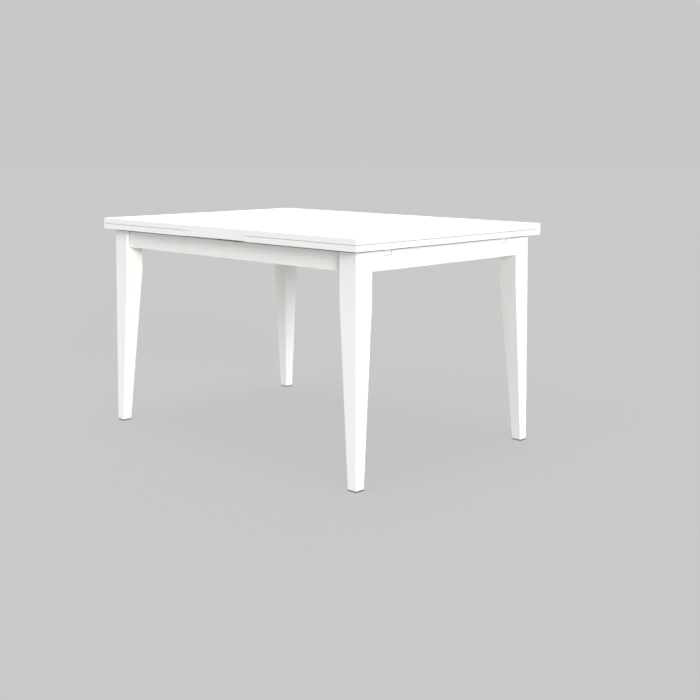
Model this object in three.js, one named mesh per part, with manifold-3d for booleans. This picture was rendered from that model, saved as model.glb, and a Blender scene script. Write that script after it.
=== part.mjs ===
// Extendable dining table: a top on a four-legged frame, with a draw-out leaf stored under each end.
// Millimetres, +Z up. X runs along the table, the way the leaves draw out, and -Y is its front.
// The origin is on the floor under the middle of the table.

import * as THREE from "three";
import { mergeVertices } from "three/addons/utils/BufferGeometryUtils.js";
import Module from "manifold-3d";

const wasm = await Module();
wasm.setup();

// Whole table
const tableLength = 1300;
const tableWidth = 900;
const tableHeight = 750;
const fitGap = 0.3; // left between pieces that touch

// Boards: the top, the centre board glued under it, and the two leaves
const topThickness = 19;
const centreThickness = 18;
const centreLength = 300;
const leafThickness = 19;
const leafToTop = 1;
const leafToCentre = 0.5;

// Legs: square above, tapered on the two inner faces below
const frameInset = 30;
const legSize = 68;
const footSize = 34;
const taperStart = 554;
const legChamfer = 12;
const glideThickness = 3;

// Aprons
const apronBottom = 645;
const frameToLeaf = 5.5; // shadow gap between the frame and the boards over it
const longApronDrop = 2.5; // from the legs' tops to the long aprons' tops
const longApronSetback = 14;
const longApronThickness = 16;

// Runners under the leaves, and the cross rails that they slide through
const runnerWidth = 30;
const runnerHeight = 20;
const runnerToLeaf = 0.5;
const runnerEndRecess = 1;
const slotClearance = 0.8;
const railSpacing = 80;
const railThickness = 20;
const railHeight = 60;
const housingDepth = 6;
const pegRadius = 6;
const pegDrop = 14;
const pegToRunnerEnd = 19;

// Corner plates of bent sheet steel, with the hanger bolts that draw the legs in
const sheet = 2.5;
const plateHeight = 32;
const plateBottom = 650;
const plateReach = 100; // from the aprons' inner corner to each bend
const hookDistance = 118; // from the aprons' inner corner to the kerf
const hookDepth = 8;
const boltRadius = 4;
const boltStart = 10; // distances along the diagonal from the aprons' inner corner
const boltEnd = 90;

// Screws
const leafScrew = { headRadius: 4.5, headHeight: 0.6, coneHeight: 2.6, shankRadius: 2.2, length: 28 };
const leafScrewPlaces = [250, 540];
const topScrew = { headRadius: 4.6, headHeight: 3.5, coneHeight: 0, shankRadius: 2.2, length: 55 };
const topScrewHeight = 686;
const topScrewPlaces = [-150, 150];

// Felt pads let into the underside of the top
const padRadius = 10;
const padRecess = 2;
const padPlace = { x: 560, y: 350 };

// Levels and faces that follow from the sizes above
const topUnderside = tableHeight - topThickness;
const centreUnderside = topUnderside - centreThickness;
const leafTop = topUnderside - leafToTop;
const leafUnderside = leafTop - leafThickness;
const leafInner = centreLength / 2 + leafToCentre;
const travel = (tableLength - centreLength) / 2;
const frameX = tableLength / 2 - frameInset;
const frameY = tableWidth / 2 - frameInset;
const frameTop = leafUnderside - frameToLeaf;
const endApronThickness = longApronSetback + longApronThickness;
const cornerInset = endApronThickness; // from a leg's outer faces to the aprons' inner faces
const runnerTop = leafUnderside - runnerToLeaf;
const runnerBottom = runnerTop - runnerHeight;
const slotBottom = runnerBottom - slotClearance;
const railTop = centreUnderside - fitGap;
const railBottom = railTop - railHeight;
const railX = railSpacing / 2;
const pegX = -(railX + railThickness / 2 + pegRadius + fitGap + travel);

// The two ends of the table. The left leaf's runners pass inside the right leaf's.
const ends = [
  { name: "right", turn: 0, runnerY: 283 },
  { name: "left", turn: Math.PI, runnerY: 240 },
];

const finishes = {
  board: { color: 0xe9edec, roughness: 0.42, metalness: 0 },
  frame: { color: 0xe6ebea, roughness: 0.45, metalness: 0 },
  pine: { color: 0xd9bf94, roughness: 0.7, metalness: 0 },
  beech: { color: 0xc99e6c, roughness: 0.6, metalness: 0 },
  steel: { color: 0xb4b7ba, roughness: 0.35, metalness: 1 },
  felt: { color: 0xb9b6ae, roughness: 0.95, metalness: 0 },
  nylon: { color: 0xdcdcd8, roughness: 0.5, metalness: 0 },
};

const table = new THREE.Group();

function addPart(parent, name, geometry, finish) {
  const mesh = new THREE.Mesh(geometry, new THREE.MeshStandardMaterial(finish));
  mesh.name = name;
  parent.add(mesh);
  return mesh;
}

function addGroup(parent, turn = 0, position = [0, 0, 0]) {
  const group = new THREE.Group();
  group.rotation.z = turn;
  group.position.set(...position);
  parent.add(group);
  return group;
}

// A box from its lowest corner to its highest.
function block(low, high) {
  const size = high.map((value, i) => value - low[i]);
  const geometry = new THREE.BoxGeometry(...size);
  geometry.translate(...low.map((value, i) => value + size[i] / 2));
  return geometry;
}

function toShape(outline) {
  return new THREE.Shape(outline.map(([u, v]) => new THREE.Vector2(u, v)));
}

// An outline of [u, v] points drawn out along one axis.
// u, v are x, z for "y", y, z for "x" and x, y for "z".
function drawOut(outline, axis, from, to) {
  const shape = outline instanceof THREE.Shape ? outline : toShape(outline);
  const settings = { depth: to - from, bevelEnabled: false, curveSegments: 8 };
  const geometry = new THREE.ExtrudeGeometry(shape, settings);
  const x = new THREE.Vector3(1, 0, 0);
  const y = new THREE.Vector3(0, 1, 0);
  const z = new THREE.Vector3(0, 0, 1);
  const bases = { x: [y, z, x], y: [x, z, y.clone().negate()], z: [x, y, z] };
  geometry.applyMatrix4(new THREE.Matrix4().makeBasis(...bases[axis]));
  const start = { x: [from, 0, 0], y: [0, to, 0], z: [0, 0, from] };
  return geometry.translate(...start[axis]);
}

// A round solid about +Z from a profile of [radius, z] points.
function turned(profile, segments = 16) {
  const points = profile.map(([radius, z]) => new THREE.Vector2(radius, z));
  return new THREE.LatheGeometry(points, segments).rotateX(Math.PI / 2);
}

function rod(radius, from, to) {
  return turned([[0, from], [radius, from], [radius, to], [0, to]]);
}

function toSolid(geometry) {
  const bare = geometry.clone();
  bare.deleteAttribute("normal");
  bare.deleteAttribute("uv");
  const merged = mergeVertices(bare);
  const corners = merged.index.array;
  const triangles = [];
  for (let i = 0; i < corners.length; i += 3) {
    const [a, b, c] = corners.slice(i, i + 3);
    if (a !== b && b !== c && c !== a) triangles.push(a, b, c);
  }
  const vertProperties = merged.attributes.position.array;
  const triVerts = new Uint32Array(triangles);
  return new wasm.Manifold(new wasm.Mesh({ numProp: 3, vertProperties, triVerts }));
}

function toGeometry(solid) {
  const mesh = solid.getMesh();
  const geometry = new THREE.BufferGeometry();
  geometry.setAttribute("position", new THREE.BufferAttribute(mesh.vertProperties, 3));
  geometry.setIndex(new THREE.BufferAttribute(mesh.triVerts, 1));
  geometry.computeVertexNormals();
  return geometry;
}

function carve(geometry, cutters) {
  const remaining = cutters.reduce((solid, cutter) => solid.subtract(toSolid(cutter)), toSolid(geometry));
  return toGeometry(remaining);
}

// A screw pointing up, with the outer face of its head at z = 0.
function screwGeometry({ headRadius, headHeight, coneHeight, shankRadius, length }) {
  const tip = 2 * shankRadius;
  const neck = headHeight + coneHeight;
  return turned([
    [0, 0], [headRadius, 0], [headRadius, headHeight],
    [shankRadius, neck], [shankRadius, length - tip], [0, length],
  ], 12);
}

// The hole for it, opened up below its head by reach.
function screwHole({ headRadius, headHeight, coneHeight, shankRadius, length }, place, reach) {
  const neck = headHeight + coneHeight + fitGap;
  return turned([
    [0, -reach], [headRadius + fitGap, -reach], [headRadius + fitGap, headHeight + fitGap],
    [shankRadius + fitGap, neck], [shankRadius + fitGap, length + fitGap], [0, length + fitGap],
  ], 12).translate(...place);
}

const topScrewHoles = [-railX, railX].flatMap((x) =>
  topScrewPlaces.map((y) => ({ x, y, cutter: screwHole(topScrew, [x, y, topScrewHeight], railHeight) })));

function addTop() {
  const recesses = [-1, 1].flatMap((sx) => [-1, 1].map((sy) =>
    rod(padRadius + fitGap, topUnderside - 1, topUnderside + padRecess)
      .translate(sx * padPlace.x, sy * padPlace.y, 0)));
  const screwCutters = topScrewHoles.map(({ cutter }) => cutter);
  const halfLength = tableLength / 2;
  const halfWidth = tableWidth / 2;
  const topBoard = block([-halfLength, -halfWidth, topUnderside], [halfLength, halfWidth, tableHeight]);
  addPart(table, "main_top", carve(topBoard, [...screwCutters, ...recesses]), finishes.board);

  const centreBoard = block(
    [-centreLength / 2, -halfWidth, centreUnderside],
    [centreLength / 2, halfWidth, topUnderside],
  );
  addPart(table, "centre_board", carve(centreBoard, screwCutters), finishes.board);

  const padTop = topUnderside + padRecess - fitGap;
  for (const [end, sx] of [["left", -1], ["right", 1]]) {
    for (const [face, sy] of [["front", -1], ["back", 1]]) {
      const padGeometry = rod(padRadius, leafTop + fitGap, padTop);
      const pad = addPart(table, `felt_pad_${face}_${end}`, padGeometry, finishes.felt);
      pad.position.set(sx * padPlace.x, sy * padPlace.y, 0);
    }
  }
}

// Slots for runners, open at the top, cut through a board that lies between two X faces.
function runnerSlots(distances, fromX, toX) {
  const half = runnerWidth / 2 + slotClearance;
  return distances.flatMap((distance) => [-distance, distance]).map((y) =>
    block([fromX - 1, y - half, slotBottom], [toX + 1, y + half, tableHeight]));
}

function addCrossRails() {
  const half = railThickness / 2;
  const reach = frameY - cornerInset + housingDepth - fitGap;
  for (const [name, x] of [["left", -railX], ["right", railX]]) {
    const rail = block([x - half, -reach, railBottom], [x + half, reach, railTop]);
    const slots = runnerSlots(ends.map(({ runnerY }) => runnerY), x - half, x + half);
    const holes = topScrewHoles.filter((hole) => hole.x === x).map(({ cutter }) => cutter);
    addPart(table, `cross_rail_${name}`, carve(rail, [...slots, ...holes]), finishes.pine);
  }
  for (const { x, y } of topScrewHoles) {
    const name = `top_screw_${y < 0 ? "front" : "back"}_${x < 0 ? "left" : "right"}`;
    addPart(table, name, screwGeometry(topScrew), finishes.steel).position.set(x, y, topScrewHeight);
  }
}

// Saw kerf across an apron's inner face for a corner plate's hook, between the given corners.
function kerf(low, high) {
  return block([...low, apronBottom - 1], [...high, plateBottom + plateHeight + 4 * fitGap]);
}

function addLongAprons() {
  const length = frameX - legSize - fitGap;
  const outer = -frameY + longApronSetback;
  const inner = -frameY + cornerInset;
  const kerfX = frameX - cornerInset - hookDistance;
  const kerfHalf = sheet / 2 + fitGap;
  const kerfs = [-kerfX, kerfX].map((x) =>
    kerf([x - kerfHalf, inner - hookDepth - 1], [x + kerfHalf, inner + 1]));
  const half = railThickness / 2 + fitGap;
  const housings = [-railX, railX].map((x) =>
    block([x - half, inner - housingDepth, railBottom - fitGap], [x + half, inner + 1, frameTop + 1]));
  const apron = block([-length, outer, apronBottom], [length, inner, frameTop - longApronDrop]);
  const geometry = carve(apron, [...kerfs, ...housings]);
  for (const [name, turn] of [["apron_front", 0], ["apron_back", Math.PI]]) {
    addPart(addGroup(table, turn), name, geometry.clone(), finishes.frame);
  }
}

function addEndApron({ name, turn, runnerY }) {
  const length = frameY - legSize - fitGap;
  const inner = frameX - cornerInset;
  const kerfY = frameY - cornerInset - hookDistance;
  const kerfHalf = sheet / 2 + fitGap;
  const kerfs = [-kerfY, kerfY].map((y) =>
    kerf([inner - 1, y - kerfHalf], [inner + hookDepth + 1, y + kerfHalf]));
  const apron = block([inner, -length, apronBottom], [frameX, length, frameTop]);
  const geometry = carve(apron, [...kerfs, ...runnerSlots([runnerY], inner, frameX)]);
  addPart(addGroup(table, turn), `apron_${name}`, geometry, finishes.frame);
}

// Along the diagonal of a corner: +Z of this frame points from the leg to the middle of the table.
const cornerDiagonal = new THREE.Matrix4()
  .makeTranslation(cornerInset, cornerInset, plateBottom + plateHeight / 2)
  .multiply(new THREE.Matrix4().makeRotationZ(Math.PI / 4))
  .multiply(new THREE.Matrix4().makeRotationY(Math.PI / 2));

// In a corner's frame the leg's outer faces are x = 0 and y = 0, and the table lies towards +x and +y.
function legGeometry() {
  const outline = [
    [0, glideThickness], [footSize, glideThickness],
    [legSize, taperStart], [legSize, frameTop], [0, frameTop],
  ];
  const taperedOnX = toSolid(drawOut(outline, "y", 0, legSize));
  const taperedOnY = toSolid(drawOut(outline, "x", 0, legSize));
  const near = legSize + 1;
  const far = legSize - legChamfer - 1;
  const chamfer = drawOut([[near, far], [near, near], [far, near]], "z", apronBottom, frameTop + 1);
  const boltHole = rod(boltRadius + fitGap, boltStart - 1, legSize).applyMatrix4(cornerDiagonal);
  const pinHole = rod(glidePin.radius + fitGap, 0, glidePin.top + 1);
  pinHole.translate(footSize / 2, footSize / 2, 0);
  return carve(toGeometry(taperedOnX.intersect(taperedOnY)), [chamfer, boltHole, pinHole]);
}

const glidePin = { radius: 2.2, top: 19 };

function glideGeometry() {
  const rim = 12;
  const head = glideThickness - fitGap;
  return turned([
    [0, 0], [rim - 1.5, 0], [rim, 1.2], [rim, head],
    [glidePin.radius, head], [glidePin.radius, glidePin.top - 2], [0, glidePin.top],
  ]);
}

// A bent plate across the corner: a web, two wings along the aprons, and two hooks into their kerfs.
function cornerPlateGeometry() {
  const outerBend = plateReach - fitGap;
  const innerBend = plateReach + sheet * Math.SQRT2 - fitGap - sheet;
  const hookNear = hookDistance - sheet / 2;
  const hookFar = hookDistance + sheet / 2;
  const wing = fitGap + sheet;
  const halfOutline = [
    [-hookDepth, hookFar], [-hookDepth, hookNear], [fitGap, hookNear], [fitGap, outerBend],
  ];
  const halfInner = [[wing, innerBend], [wing, hookFar]];
  const mirrored = (points) => points.map(([a, b]) => [b, a]).reverse();
  const outline = [...halfOutline, ...mirrored(halfOutline), ...mirrored(halfInner), ...halfInner];
  const placed = outline.map(([a, b]) => [a + cornerInset, b + cornerInset]);
  const plate = drawOut(placed, "z", plateBottom, plateBottom + plateHeight);
  const hole = rod(boltRadius + 2 * fitGap, boltEnd - 30, boltEnd).applyMatrix4(cornerDiagonal);
  return carve(plate, [hole]);
}

function hangerBoltGeometry() {
  const length = boltEnd - boltStart;
  return turned([
    [0, 0], [1, 0], [boltRadius, 8], [boltRadius, length - 1], [boltRadius - 1, length], [0, length],
  ], 12);
}

function wingNutGeometry() {
  const bore = boltRadius + fitGap;
  const hub = turned([[bore, 0], [9, 0], [9, 1.5], [7.5, 2.5], [6.5, 10], [bore, 10], [bore, 0]]);
  const wingShape = new THREE.Shape()
    .moveTo(5.5, 2)
    .lineTo(10, 2)
    .quadraticCurveTo(20, 5, 20, 15)
    .quadraticCurveTo(16, 18, 13, 14)
    .quadraticCurveTo(10, 9, 5.5, 9);
  const wing = drawOut(wingShape, "y", -1.5, 1.5);
  const otherWing = wing.clone().rotateZ(Math.PI);
  return toGeometry(toSolid(hub).add(toSolid(wing)).add(toSolid(otherWing)));
}

function addCorner({ name, turn, x, y }) {
  const corner = addGroup(table, turn, [x * frameX, y * frameY, 0]);
  addPart(corner, `leg_${name}`, legGeometry(), finishes.frame);
  const glide = addPart(corner, `glide_${name}`, glideGeometry(), finishes.nylon);
  glide.position.set(footSize / 2, footSize / 2, 0);
  addPart(corner, `corner_plate_${name}`, cornerPlateGeometry(), finishes.steel);

  const diagonal = addGroup(corner);
  diagonal.applyMatrix4(cornerDiagonal);
  addPart(diagonal, `hanger_bolt_${name}`, hangerBoltGeometry(), finishes.steel).position.z = boltStart;
  const nut = addPart(diagonal, `wing_nut_${name}`, wingNutGeometry(), finishes.steel);
  nut.position.z = plateReach / Math.SQRT2 + sheet + fitGap;
}

// A leaf with its two runners, drawn for the right end and turned for the left one.
function addLeaf({ name, turn, runnerY }) {
  const end = addGroup(table, turn);
  const screwZ = runnerBottom + fitGap;
  const runnerYs = [-runnerY, runnerY];
  const screwHoles = runnerYs.map((y) =>
    leafScrewPlaces.map((x) => screwHole(leafScrew, [x, y, screwZ], 1)));
  const leaf = block(
    [leafInner, -tableWidth / 2, leafUnderside],
    [tableLength / 2, tableWidth / 2, leafTop],
  );
  addPart(end, `leaf_${name}`, carve(leaf, screwHoles.flat()), finishes.board);

  runnerYs.forEach((y, i) => {
    const face = y * Math.cos(turn) < 0 ? "front" : "back";
    const half = runnerWidth / 2;
    const runner = block(
      [pegX - pegToRunnerEnd, y - half, runnerBottom],
      [frameX - runnerEndRecess, y + half, runnerTop],
    );
    const pegHole = rod(pegRadius + fitGap, runnerBottom - 1, runnerTop + 1).translate(pegX, y, 0);
    addPart(end, `runner_${name}_${face}`, carve(runner, [...screwHoles[i], pegHole]), finishes.frame);
    const pegGeometry = rod(pegRadius, -pegDrop, runnerHeight);
    const peg = addPart(end, `stop_peg_${name}_${face}`, pegGeometry, finishes.beech);
    peg.position.set(pegX, y, runnerBottom);
    leafScrewPlaces.forEach((x, place) => {
      const screwName = `leaf_screw_${name}_${face}_${place === 0 ? "inner" : "outer"}`;
      addPart(end, screwName, screwGeometry(leafScrew), finishes.steel).position.set(x, y, screwZ);
    });
  });
}

const corners = [
  { name: "front_left", turn: 0, x: -1, y: -1 },
  { name: "front_right", turn: Math.PI / 2, x: 1, y: -1 },
  { name: "back_right", turn: Math.PI, x: 1, y: 1 },
  { name: "back_left", turn: -Math.PI / 2, x: -1, y: 1 },
];

addTop();
addCrossRails();
addLongAprons();
ends.forEach(addEndApron);
ends.forEach(addLeaf);
corners.forEach(addCorner);

export default table;
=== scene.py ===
import math

import bmesh
import bpy
from mathutils import Euler, Matrix, Vector


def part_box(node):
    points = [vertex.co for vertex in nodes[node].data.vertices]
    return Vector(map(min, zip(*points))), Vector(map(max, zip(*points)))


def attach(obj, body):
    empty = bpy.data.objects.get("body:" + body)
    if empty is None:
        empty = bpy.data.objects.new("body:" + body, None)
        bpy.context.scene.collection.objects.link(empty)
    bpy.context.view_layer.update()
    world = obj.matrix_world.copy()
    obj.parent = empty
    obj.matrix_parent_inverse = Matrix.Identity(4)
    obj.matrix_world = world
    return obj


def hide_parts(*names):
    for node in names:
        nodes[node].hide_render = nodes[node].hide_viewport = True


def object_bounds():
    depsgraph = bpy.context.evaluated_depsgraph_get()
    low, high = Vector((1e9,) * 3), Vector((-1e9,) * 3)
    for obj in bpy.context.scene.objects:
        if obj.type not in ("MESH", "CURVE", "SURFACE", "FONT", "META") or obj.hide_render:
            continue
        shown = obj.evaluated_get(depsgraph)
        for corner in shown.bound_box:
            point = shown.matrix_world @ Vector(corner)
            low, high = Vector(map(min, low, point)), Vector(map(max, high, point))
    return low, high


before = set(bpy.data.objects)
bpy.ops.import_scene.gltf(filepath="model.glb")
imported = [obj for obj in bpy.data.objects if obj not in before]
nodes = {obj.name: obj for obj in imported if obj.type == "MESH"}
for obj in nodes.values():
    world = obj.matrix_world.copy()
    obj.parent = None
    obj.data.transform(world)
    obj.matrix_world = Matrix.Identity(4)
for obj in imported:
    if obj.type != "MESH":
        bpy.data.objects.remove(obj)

cad_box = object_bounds()

# Radius of the eased edges, in metres
BOARD_EDGE = 0.0005
FRAME_EDGE = 0.0008
METAL_EDGE = 0.0004

# How far wear reaches in from an edge, and painted shade out of a joint, in metres
WOOD_WEAR_WIDTH = 0.0012
METAL_WEAR_WIDTH = 0.0008
CREVICE_SHADE_REACH = 0.018

# Boards whose figure runs on from one to the next
BOARDS = ("main_top", "centre_board", "leaf_left", "leaf_right")

# Camera: place in metres, angles in degrees and lens in millimetres
CAMERA_PLACE = (2.842, -2.676, 1.017)
CAMERA_YAW = 44.875
CAMERA_DIP = 3.74
CAMERA_LENS = 56.66
CAMERA_SHIFT = -0.19

# Light and background, in linear radiance
BACKDROP = 0.578
AMBIENT = 0.47

# Floor: its glow and colour, and the tints of its glow in the table's shade
FLOOR_HALF_SIZE = 40.0
FLOOR_GLOW = 0.500
FLOOR_COLOUR = 0.05
UNDER_TABLE = (0.58, 0.53, 0.44, 1.0)
UNDER_FEET = (0.36, 0.34, 0.30, 1.0)
FOOT_SHADE_REACH = 0.005


# ---------------------------------------------------------------- camera

def add_camera():
    data = bpy.data.cameras.new("camera")
    camera = bpy.data.objects.new("camera", data)
    bpy.context.scene.collection.objects.link(camera)
    camera.location = CAMERA_PLACE
    camera.rotation_euler = Euler((math.radians(90 - CAMERA_DIP), 0, math.radians(CAMERA_YAW)))
    data.lens = CAMERA_LENS
    data.sensor_width = 36
    data.shift_y = CAMERA_SHIFT
    data.clip_start = 0.05
    data.clip_end = 200
    bpy.context.scene.camera = camera


# ---------------------------------------------------------------- node helpers

class Graph:
    """A shader node tree with short calls for the nodes used here."""

    def __init__(self, tree):
        self.tree = tree
        tree.nodes.clear()

    def add(self, kind, inputs=None, **settings):
        node = self.tree.nodes.new(kind)
        for key, value in settings.items():
            setattr(node, key, value)
        for key, value in (inputs or {}).items():
            self.put(node, key, value)
        return node

    def put(self, node, key, value):
        if isinstance(value, bpy.types.NodeSocket):
            self.tree.links.new(value, node.inputs[key])
        else:
            node.inputs[key].default_value = value

    def math(self, operation, *values, clamp=False):
        node = self.add("ShaderNodeMath", operation=operation, use_clamp=clamp)
        for i, value in enumerate(values):
            self.put(node, i, value)
        return node.outputs[0]

    def noise(self, vector, scale, detail=2.0, roughness=0.5):
        node = self.add("ShaderNodeTexNoise", {
            "Vector": vector, "Scale": scale, "Detail": detail, "Roughness": roughness,
        })
        return node.outputs["Fac"]

    def ramp(self, value, stops):
        node = self.add("ShaderNodeValToRGB", {"Fac": value})
        elements = node.color_ramp.elements
        while len(elements) < len(stops):
            elements.new(0.5)
        for element, (place, colour) in zip(elements, stops):
            element.position = place
            element.color = colour if isinstance(colour, tuple) else (colour, colour, colour, 1)
        return node.outputs["Color"]

    def mix(self, factor, first, second, blend="MIX"):
        node = self.add("ShaderNodeMix", data_type="RGBA", blend_type=blend)
        for key, value in ((0, factor), (6, first), (7, second)):
            self.put(node, key, value)
        return node.outputs[2]


def rgba(r, g, b):
    return (r, g, b, 1.0)


def new_material(name):
    material = bpy.data.materials.new(name)
    material.use_nodes = True
    return material, Graph(material.node_tree)


def finish_surface(graph, inputs, height, distance):
    """Ends a material: a principled shader with a bump from height, whose swing is distance in metres."""
    bump = graph.add("ShaderNodeBump", {"Strength": 1.0, "Distance": distance, "Height": height})
    shader = graph.add("ShaderNodeBsdfPrincipled", {**inputs, "Normal": bump.outputs["Normal"]})
    output = graph.add("ShaderNodeOutputMaterial")
    graph.tree.links.new(shader.outputs["BSDF"], output.inputs["Surface"])


def edge_mask(graph, width):
    """1 along a piece's arrises and 0 elsewhere."""
    bevel = graph.add("ShaderNodeBevel", {"Radius": width}, samples=4)
    geometry = graph.add("ShaderNodeNewGeometry")
    dot = graph.add("ShaderNodeVectorMath", operation="DOT_PRODUCT")
    graph.put(dot, 0, bevel.outputs["Normal"])
    graph.put(dot, 1, geometry.outputs["Normal"])
    return graph.math("MULTIPLY", graph.math("SUBTRACT", 1.0, dot.outputs["Value"]), 6.0, clamp=True)


def crevice_shade_mask(graph, reach):
    """Mask of painted shade: 1 deep in a joint, a corner or under an overhang, where shade falls, and 0
    where the surface is open for reach metres.
    """
    occlusion = graph.add("ShaderNodeAmbientOcclusion", {"Distance": reach}, samples=6)
    return graph.ramp(occlusion.outputs["AO"], [(0.26, 1.0), (0.62, 0.0)])


# ---------------------------------------------------------------- materials

AXES = "XYZ"


def grain_space(graph, along, seed):
    """Object coordinates as (along the grain, across it, through it), moved by seed to vary the pieces."""
    coordinates = graph.add("ShaderNodeTexCoord").outputs["Object"]
    parts = graph.add("ShaderNodeSeparateXYZ", {"Vector": coordinates}).outputs
    order = [along] + [a for a in AXES if a != along]
    joined = graph.add("ShaderNodeCombineXYZ", {i: parts[a] for i, a in enumerate(order)}).outputs[0]
    step = (0.37 * seed, 0.053 * seed, 0.031 * seed)
    moved = graph.add("ShaderNodeVectorMath", {0: joined, 1: step}, operation="ADD")
    return moved.outputs["Vector"]


def stretched(graph, vector, scale, rotation=(0, 0, 0), location=(0, 0, 0)):
    node = graph.add("ShaderNodeMapping", {
        "Vector": vector, "Scale": scale, "Rotation": rotation, "Location": location,
    })
    return node.outputs["Vector"]


def wood(name, along, seed, light, streak,
         figure=1.0, rings=110.0, tilt=0.05, sway=1.0, roughness=0.42):
    """Wood with growth rings, rings to the metre, about an axis tilted a little from the grain.

    light is the colour between the rings and streak the colour of the late wood. figure scales their
    contrast, and sway how far the rings waver along the piece.
    """
    material, g = new_material(name)
    space = grain_space(g, along, seed)

    # Rings: a wave of the distance from the tree's axis, moved in and out slowly along the piece
    waver = g.noise(stretched(g, space, (4.2, 7.0, 7.0)), 1.0, detail=1.0)
    drift = g.noise(stretched(g, space, (1.1, 5.0, 5.0)), 1.0, detail=1.0)
    shift = g.math("ADD", g.math("MULTIPLY", waver, 0.036 * sway), g.math("MULTIPLY", drift, 0.06 * sway))
    tilted = stretched(g, space, (1, 1, 1), rotation=(0, tilt, tilt * 0.7), location=(0, 0.09, 0.06))
    parts = g.add("ShaderNodeSeparateXYZ", {"Vector": tilted}).outputs
    across = g.math("POWER", parts["Y"], 2.0)
    through = g.math("POWER", parts["Z"], 2.0)
    radius = g.math("SQRT", g.math("ADD", across, through))
    phase = g.math("MULTIPLY", g.math("ADD", radius, shift), rings * 2 * math.pi)
    wave = g.math("ADD", g.math("MULTIPLY", g.math("SINE", phase), 0.5), 0.5)
    late_wood = g.ramp(wave, [(0.0, 0.0), (0.50, 0.06), (0.86, 0.8), (1.0, 1.0)])

    # Fine pores, patches where the figure shows more or less, and warm bands across the grain
    fibre = g.noise(stretched(g, space, (6.0, 520.0, 520.0)), 1.0, detail=3.0, roughness=0.65)
    pores = g.ramp(fibre, [(0.40, 0.0), (0.70, 1.0)])
    strength = g.noise(stretched(g, space, (3.0, 30.0, 30.0)), 1.0, detail=2.0)
    patches = g.ramp(strength, [(0.32, 0.35), (0.62, 1.0)])
    band = g.noise(stretched(g, space, (16.0, 1.5, 1.5)), 1.0, detail=1.0)
    bands = g.ramp(band, [(0.64, 0.0), (0.74, 1.0)])

    figure_amount = g.math("MULTIPLY", g.math("MULTIPLY", late_wood, patches), 0.80 * figure)
    pore_amount = g.math("MULTIPLY", pores, 0.22 * figure)
    band_amount = g.math("MULTIPLY", bands, 0.55 * figure)
    total = g.math("ADD", g.math("ADD", figure_amount, pore_amount), band_amount, clamp=True)
    colour = g.mix(total, light, streak)

    # Worn edges, and painted shade in the joints and corners
    edges = edge_mask(g, WOOD_WEAR_WIDTH)
    breakup = g.ramp(g.noise(stretched(g, space, (60.0, 60.0, 60.0)), 1.0), [(0.4, 0.0), (0.7, 1.0)])
    wear = g.math("MULTIPLY", edges, g.math("MULTIPLY", breakup, 0.35))
    worn = tuple(0.95 * c for c in streak[:3]) + (1.0,)
    colour = g.mix(wear, colour, worn)
    # Painted shade: a warm dark multiply, strongest deep in joints and under the boards' overhang
    crevice_shaded = g.mix(1.0, colour, rgba(0.36, 0.31, 0.25), blend="MULTIPLY")
    colour = g.mix(crevice_shade_mask(g, CREVICE_SHADE_REACH), colour, crevice_shaded)

    gloss = g.math("ADD", roughness, g.math("MULTIPLY", g.math("SUBTRACT", fibre, 0.5), 0.22))
    height = g.math("SUBTRACT", g.math("MULTIPLY", late_wood, 0.3), g.math("MULTIPLY", pores, 0.7))
    finish_surface(g, {
        "Base Color": colour, "Roughness": gloss, "Specular IOR Level": 0.45,
        "Coat Weight": 0.06, "Coat Roughness": 0.3,
    }, height, 0.00006)
    return material


def white_board(name):
    """The same seed on every board, so that their figure runs on across the joints of the closed table."""
    return wood(name, "X", 3, rgba(0.790, 0.817, 0.816), rgba(0.778, 0.760, 0.704), figure=0.95)


def white_frame(name, along, seed, **more):
    return wood(name, along, seed, rgba(0.803, 0.832, 0.823), rgba(0.790, 0.770, 0.702), **more)


def zinc(name, seed):
    material, g = new_material(name)
    coordinates = g.add("ShaderNodeTexCoord").outputs["Object"]
    moved = stretched(g, coordinates, (1, 1, 1), location=(seed, seed, 0))
    spangle = g.noise(moved, 260.0, detail=4.0)
    brushed = g.noise(stretched(g, moved, (40.0, 40.0, 900.0)), 1.0, detail=2.0)
    flakes = g.ramp(spangle, [(0.35, 0.0), (0.7, 1.0)])
    colour = g.mix(flakes, rgba(0.52, 0.53, 0.54), rgba(0.68, 0.69, 0.70))
    wear = g.math("MULTIPLY", edge_mask(g, METAL_WEAR_WIDTH), 0.5)
    colour = g.mix(wear, colour, rgba(0.80, 0.80, 0.80))
    roughness = g.math("ADD", 0.24, g.math("MULTIPLY", spangle, 0.25))
    finish_surface(g, {"Base Color": colour, "Metallic": 1.0, "Roughness": roughness}, brushed, 0.00003)
    return material


def felt(name):
    material, g = new_material(name)
    coordinates = g.add("ShaderNodeTexCoord").outputs["Object"]
    fuzz = g.noise(coordinates, 1500.0, detail=4.0, roughness=0.7)
    colour = g.mix(fuzz, rgba(0.36, 0.35, 0.33), rgba(0.56, 0.55, 0.52))
    finish_surface(g, {"Base Color": colour, "Roughness": 0.95, "Sheen Weight": 0.4}, fuzz, 0.0004)
    return material


def nylon(name):
    material, g = new_material(name)
    coordinates = g.add("ShaderNodeTexCoord").outputs["Object"]
    speckle = g.noise(coordinates, 900.0, detail=3.0)
    scuff = g.ramp(g.noise(coordinates, 90.0, detail=4.0), [(0.5, 0.0), (0.75, 1.0)])
    colour = g.mix(g.math("MULTIPLY", scuff, 0.5), rgba(0.62, 0.62, 0.60), rgba(0.42, 0.41, 0.39))
    roughness = g.math("ADD", 0.42, g.math("MULTIPLY", scuff, 0.3))
    finish_surface(g, {"Base Color": colour, "Roughness": roughness}, speckle, 0.00004)
    return material


# ---------------------------------------------------------------- dressing the CAD nodes

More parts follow.
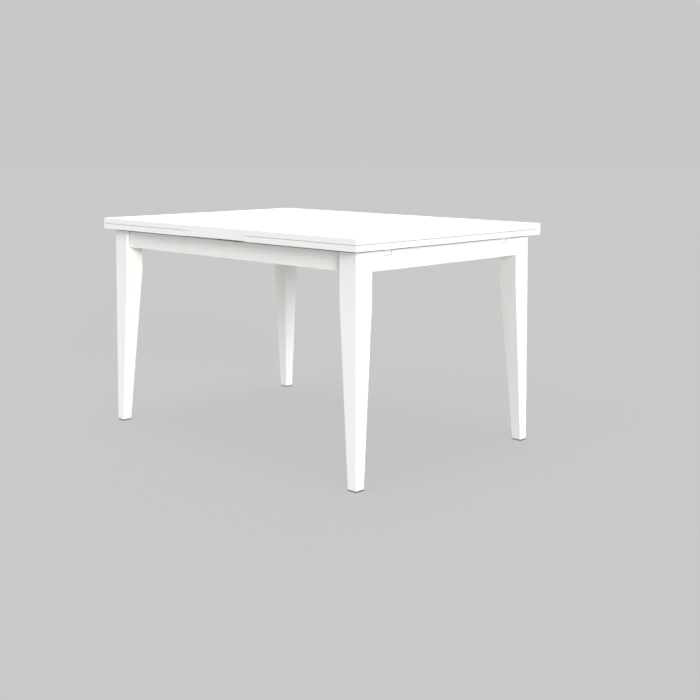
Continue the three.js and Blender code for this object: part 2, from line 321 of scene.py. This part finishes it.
def dress(node, material, edge):
    """Gives a CAD node its material, and eases its sharp edges without touching its mesh."""
    piece = nodes[node]
    piece.data.materials.clear()
    piece.data.materials.append(material)
    for polygon in piece.data.polygons:
        polygon.use_smooth = True
    merge = piece.modifiers.new("weld", "WELD")
    merge.merge_threshold = 0.00002
    flatten = piece.modifiers.new("flatten", "DECIMATE")
    flatten.decimate_type = "DISSOLVE"
    flatten.angle_limit = math.radians(0.5)
    bevel = piece.modifiers.new("eased_edges", "BEVEL")
    bevel.width = edge
    bevel.segments = 3
    bevel.limit_method = "ANGLE"
    bevel.angle_limit = math.radians(40)
    bevel.harden_normals = False
    bevel.use_clamp_overlap = False
    weighted = piece.modifiers.new("shading", "WEIGHTED_NORMAL")
    weighted.keep_sharp = False
    weighted.weight = 100


def white_leg(name, seed):
    return white_frame(name, "Z", seed, figure=0.8, rings=118.0, tilt=0.01, sway=0.25)


def bare_pine(name, seed):
    return wood(name, "Y", seed, rgba(0.80, 0.66, 0.45), rgba(0.60, 0.44, 0.26), roughness=0.6)


def bare_dowel(name, seed):
    return wood(name, "Z", seed, rgba(0.55, 0.35, 0.19), rgba(0.38, 0.22, 0.11), roughness=0.55)


def dress_all():
    for seed, node in enumerate(sorted(nodes), start=1):
        kind = node.split("_")[0]
        if node in BOARDS:
            dress(node, white_board(node), BOARD_EDGE)
        elif kind == "leg":
            dress(node, white_leg(node, seed), FRAME_EDGE)
        elif node in ("apron_front", "apron_back"):
            dress(node, white_frame(node, "X", seed), FRAME_EDGE)
        elif node in ("apron_left", "apron_right"):
            dress(node, white_frame(node, "Y", seed), FRAME_EDGE)
        elif kind == "runner":
            dress(node, white_frame(node, "X", seed), BOARD_EDGE)
        elif kind == "cross":
            dress(node, bare_pine(node, seed), BOARD_EDGE)
        elif kind == "stop":
            dress(node, bare_dowel(node, seed), METAL_EDGE)
        elif kind == "felt":
            dress(node, felt(node), METAL_EDGE)
        elif kind == "glide":
            dress(node, nylon(node), METAL_EDGE)
        else:
            dress(node, zinc(node, seed), METAL_EDGE)


# ---------------------------------------------------------------- fasteners with threads

def ridge(turns):
    """Height of a V thread, 0 to 1, after a number of turns."""
    return 1 - abs(2 * (turns % 1.0) - 1)


def cross_recess(x, y, head_radius):
    """Depth of a cross slot, 0 to 1, at a point of a screw's head."""
    def inside(value, half):
        return min(1.0, max(0.0, (1.25 - abs(value) / half) / 0.35))
    arm, width = 0.60 * head_radius, 0.17 * head_radius
    return max(inside(x, width) * inside(y, arm), inside(y, width) * inside(x, arm))


def turned_mesh(name, heights, radius, segments, recess=None):
    """A closed mesh of revolution about Z. radius(z, turn) may change with the turn, as a thread's does."""
    bm = bmesh.new()
    turns = [i / segments for i in range(segments)]

    def loop(z, scale=1.0, dent=None):
        verts = []
        for turn in turns:
            r = radius(z, turn) * scale
            x, y = r * math.cos(2 * math.pi * turn), r * math.sin(2 * math.pi * turn)
            verts.append(bm.verts.new((x, y, z + (dent(x, y) if dent else 0.0))))
        return verts

    loops = [loop(z) for z in heights]
    if recess:
        inner = [loop(heights[0], 0.94 - 0.06 * k, recess) for k in range(15)]
        loops = inner[::-1] + loops
    for low, high in zip(loops, loops[1:]):
        for i in range(segments):
            j = (i + 1) % segments
            bm.faces.new((low[i], low[j], high[j], high[i]))
    for end, z in ((loops[0], heights[0]), (loops[-1], heights[-1])):
        centre = bm.verts.new((0, 0, z + (recess(0, 0) if recess and end is loops[0] else 0.0)))
        for i in range(segments):
            bm.faces.new((end[i], end[(i + 1) % segments], centre))
    bmesh.ops.recalc_face_normals(bm, faces=bm.faces)
    mesh = bpy.data.meshes.new(name)
    bm.to_mesh(mesh)
    bm.free()
    for polygon in mesh.polygons:
        polygon.use_smooth = True
    mesh.set_sharp_from_angle(angle=math.radians(50))
    return mesh


def steps(start, end, step):
    count = max(1, round((end - start) / step))
    return [start + (end - start) * i / count for i in range(count + 1)]


def depth_recess(depth, head_radius):
    """The dent of a cross slot, in metres, as a function of a point of the head."""
    return lambda x, y: depth * cross_recess(x, y, head_radius)


def add_fastener(name, mesh, body, node, seed):
    piece = bpy.data.objects.new(name, mesh)
    bpy.context.scene.collection.objects.link(piece)
    mesh.materials.append(zinc(name, seed))
    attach(piece, body)
    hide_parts(node)


def add_wood_screw(node, body, rim, cone, seed):
    """A cross-head wood screw in place of the CAD one: head down, with rim and cone heights in metres."""
    low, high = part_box(node)
    centre = (low + high) / 2
    head = (high.x - low.x) / 2
    length = high.z - low.z
    shank = 0.0022
    core = 0.0014
    pitch = 0.0022
    tip = 0.007
    rounding = 0.0004
    run_in = 0.004

    def radius(z, turn):
        if z <= rim:
            return head - rounding * (1 - min(1.0, z / rounding))
        if z < rim + cone:
            return head + (shank - head) * (z - rim) / cone
        grip = min(1.0, (z - rim - cone) / run_in)
        taper = min(1.0, max(0.04, (length - z) / tip))
        smooth = shank + (core - shank) * grip
        return (smooth + (shank - core) * grip * ridge(z / pitch - turn) ** 2) * taper

    head_heights = [0.0, rounding / 2, rounding, rim]
    if cone:
        head_heights.append(rim + cone / 2)
    heights = head_heights + steps(rim + max(cone, 0.0001), length, pitch / 6)
    mesh = turned_mesh(f"threaded_{node}", heights, radius, 24, depth_recess(0.0016, head))
    mesh.transform(Matrix.Translation((centre.x, centre.y, low.z)))
    add_fastener(f"threaded_{node}", mesh, body, node, seed)


def add_hanger_bolt(node, seed):
    """A bolt with a wood thread in the leg and a machine thread through the corner plate."""
    low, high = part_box(node)
    centre = (low + high) / 2
    tip_radius = 0.001
    end_radius = 0.003
    length = (high.x - low.x) * math.sqrt(2) - tip_radius - end_radius
    to_leg = Vector((math.copysign(1, centre.x), math.copysign(1, centre.y), 0)).normalized()
    tip_x = max(high.x, -low.x) - tip_radius / math.sqrt(2)
    tip_y = abs(centre.y) - abs(centre.x) + tip_x
    start = Vector((math.copysign(tip_x, centre.x), math.copysign(tip_y, centre.y), centre.z))
    wood_end = 0.46 * length
    machine_start = 0.54 * length

    def radius(z, turn):
        if z < wood_end:
            taper = min(1.0, 0.25 + 0.75 * z / 0.008)
            return (0.0028 + 0.0012 * ridge(z / 0.003 - turn) ** 2) * taper
        if z < machine_start:
            return 0.0036
        chamfer = min(1.0, 0.75 + 0.25 * (length - z) / 0.001)
        return (0.0034 + 0.0006 * ridge(z / 0.00125 - turn)) * chamfer

    heights = steps(0, wood_end, 0.0005) + steps(wood_end + 0.0001, machine_start, 0.004)
    heights += steps(machine_start + 0.0001, length, 0.00025)
    mesh = turned_mesh(f"threaded_{node}", heights, radius, 20)
    turn = (-to_leg).to_track_quat("Z", "Y").to_matrix().to_4x4()
    mesh.transform(Matrix.Translation(start) @ turn)
    add_fastener(f"threaded_{node}", mesh, "frame", node, seed)


def add_fasteners():
    for seed, node in enumerate(sorted(nodes), start=61):
        if node.startswith("leaf_screw"):
            add_wood_screw(node, f"{node.split('_')[2]}_leaf", 0.0006, 0.0026, seed)
        elif node.startswith("top_screw"):
            add_wood_screw(node, "frame", 0.0035, 0, seed)
        elif node.startswith("hanger_bolt"):
            add_hanger_bolt(node, seed)


# ---------------------------------------------------------------- studio

def shade_at_feet(graph, point):
    """1 under the feet and 0 a little way out. The feet mirror each other, so one does for all four."""
    glide_low, glide_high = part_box("glide_back_right")
    foot = (glide_low + glide_high) / 2
    foot_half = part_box("leg_back_right")[1].x - foot.x
    parts = graph.add("ShaderNodeSeparateXYZ", {"Vector": point}).outputs
    squares = []
    for axis, centre in (("X", foot.x), ("Y", foot.y)):
        mirrored = graph.math("ABSOLUTE", parts[axis])
        from_centre = graph.math("ABSOLUTE", graph.math("SUBTRACT", mirrored, centre))
        outside = graph.math("MAXIMUM", graph.math("SUBTRACT", from_centre, foot_half), 0.0)
        squares.append(graph.math("POWER", outside, 2.0))
    distance = graph.math("SQRT", graph.math("ADD", *squares))
    shade = graph.add("ShaderNodeMapRange", {
        "Value": distance, "From Min": FOOT_SHADE_REACH, "From Max": 0.0,
    }, interpolation_type="SMOOTHSTEP")
    return shade.outputs["Result"]


def floor_material():
    """A pale glow, shaded under the feet. The shade of the table shows only in what the floor lights."""
    material, g = new_material("floor")
    diffuse = g.add("ShaderNodeBsdfDiffuse", {"Color": rgba(FLOOR_COLOUR, FLOOR_COLOUR, FLOOR_COLOUR)})
    half_length, half_width = cad_box[1][0], cad_box[1][1]
    point = g.add("ShaderNodeTexCoord").outputs["Object"]
    place = stretched(g, point, (1 / half_length, 1 / half_width, 0))
    reach = g.add("ShaderNodeVectorMath", {0: place}, operation="LENGTH")
    under = g.add("ShaderNodeMapRange", {
        "Value": reach.outputs["Value"], "From Min": 1.2, "From Max": 0.3,
    }, interpolation_type="SMOOTHSTEP")
    seen = g.add("ShaderNodeLightPath").outputs["Is Camera Ray"]
    hidden_shade = g.math("MULTIPLY", under.outputs["Result"], g.math("SUBTRACT", 1.0, seen))
    tint = g.mix(hidden_shade, rgba(1, 1, 1), UNDER_TABLE)
    tint = g.mix(shade_at_feet(g, point), tint, UNDER_FEET)
    glow = g.add("ShaderNodeEmission", {"Color": tint, "Strength": FLOOR_GLOW})
    both = g.add("ShaderNodeAddShader", {0: diffuse.outputs[0], 1: glow.outputs[0]})
    output = g.add("ShaderNodeOutputMaterial")
    g.tree.links.new(both.outputs[0], output.inputs["Surface"])
    return material


def add_floor():
    half = FLOOR_HALF_SIZE
    mesh = bpy.data.meshes.new("floor")
    corners = [(-half, -half, 0), (half, -half, 0), (half, half, 0), (-half, half, 0)]
    mesh.from_pydata(corners, [], [(0, 1, 2, 3)])
    floor = bpy.data.objects.new("floor", mesh)
    bpy.context.scene.collection.objects.link(floor)
    mesh.materials.append(floor_material())


def softbox(graph, direction, azimuth, elevation, half_width, radiance):
    """A round soft light in the sky: azimuth from -Y towards +X and half_width, its radius, in degrees."""
    around = math.radians(azimuth)
    up = math.radians(elevation)
    centre = (math.sin(around) * math.cos(up), -math.cos(around) * math.cos(up), math.sin(up))
    dot = graph.add("ShaderNodeVectorMath", {0: direction, 1: centre}, operation="DOT_PRODUCT")
    fade = graph.add("ShaderNodeMapRange", {
        "Value": dot.outputs["Value"], "From Min": math.cos(math.radians(half_width)), "From Max": 1.0,
        "To Min": 0.0, "To Max": radiance,
    }, interpolation_type="SMOOTHSTEP")
    return fade.outputs["Result"]


def add_world():
    world = bpy.data.worlds.new("studio")
    bpy.context.scene.world = world
    world.use_nodes = True
    g = Graph(world.node_tree)
    direction = g.add("ShaderNodeTexCoord").outputs["Generated"]
    key = softbox(g, direction, azimuth=67, elevation=13, half_width=15, radiance=27.0)
    fill = softbox(g, direction, azimuth=-10, elevation=49, half_width=30, radiance=2.3)
    overhead = softbox(g, direction, azimuth=0, elevation=90, half_width=22, radiance=9.6)
    behind = softbox(g, direction, azimuth=-135, elevation=35, half_width=50, radiance=0.9)
    front_light = g.math("ADD", key, fill)
    light = g.math("ADD", g.math("ADD", front_light, behind), g.math("ADD", overhead, AMBIENT))
    seen = g.add("ShaderNodeLightPath").outputs["Is Camera Ray"]
    strength = g.math("ADD", light, g.math("MULTIPLY", seen, g.math("SUBTRACT", BACKDROP, light)))
    sky = g.add("ShaderNodeBackground", {"Color": rgba(1, 1, 1), "Strength": strength})
    output = g.add("ShaderNodeOutputWorld")
    g.tree.links.new(sky.outputs["Background"], output.inputs["Surface"])


add_camera()
dress_all()
add_fasteners()
add_floor()
add_world()

scene = bpy.context.scene
scene.view_settings.view_transform = "Standard"
scene.view_settings.look = "None"

bpy.context.view_layer.update()
